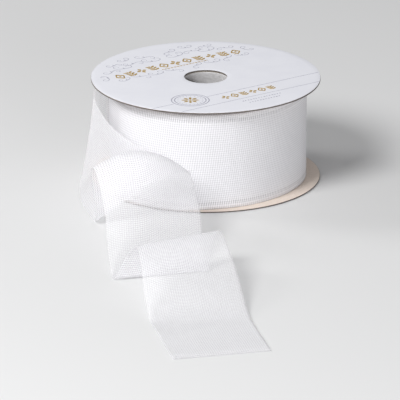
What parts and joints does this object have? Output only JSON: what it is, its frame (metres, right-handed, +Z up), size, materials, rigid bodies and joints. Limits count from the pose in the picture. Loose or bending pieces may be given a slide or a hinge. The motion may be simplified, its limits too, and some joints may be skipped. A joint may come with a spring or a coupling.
{
  "type": "ribbon spool",
  "caption": "Round board reel wound with sheer white gift ribbon, its free end drawn off, twisted and laid in loose folds.",
  "frame": {"origin": "centre of the object's footprint on the table, the drawn-off ribbon included", "axes": "+Z up along the reel's axis; -Y the way the free end of the ribbon runs; +X to the right, seen from the free end"},
  "size_m": [0.0946, 0.2492, 0.041],
  "materials": {
    "printed_paper": "smooth matt white paper with grey line ornaments and gold foil",
    "plain_paper": "smooth matt white paper",
    "greyboard": "uncoated tan board, fibrous, with a darker cut edge",
    "tube_paper": "spiral-wound paper tube, matt",
    "dry_glue": "dried adhesive",
    "tape": "clear film tape",
    "sheer_ribbon": "white sheer open weave with denser selvages"
  },
  "bodies": {
    "spool": {"top_label": "printed_paper", "top_flange": "greyboard", "top_glue_ring": "dry_glue", "core_tube": "tube_paper", "bottom_glue_ring": "dry_glue", "bottom_flange": "greyboard", "bottom_label": "plain_paper", "start_tape": "tape", "wound_ribbon": "sheer_ribbon"},
    "free_ribbon": {"outer_wrap": "sheer_ribbon", "ribbon_tail": "sheer_ribbon"}
  },
  "joints": [
    {"name": "unwind", "type": "hinge", "parent": "spool", "child": "free_ribbon", "pos_m": [0.00232, 0.0796, 0.0205], "axis": [0, 0, 1], "continuous": true}
  ]
}
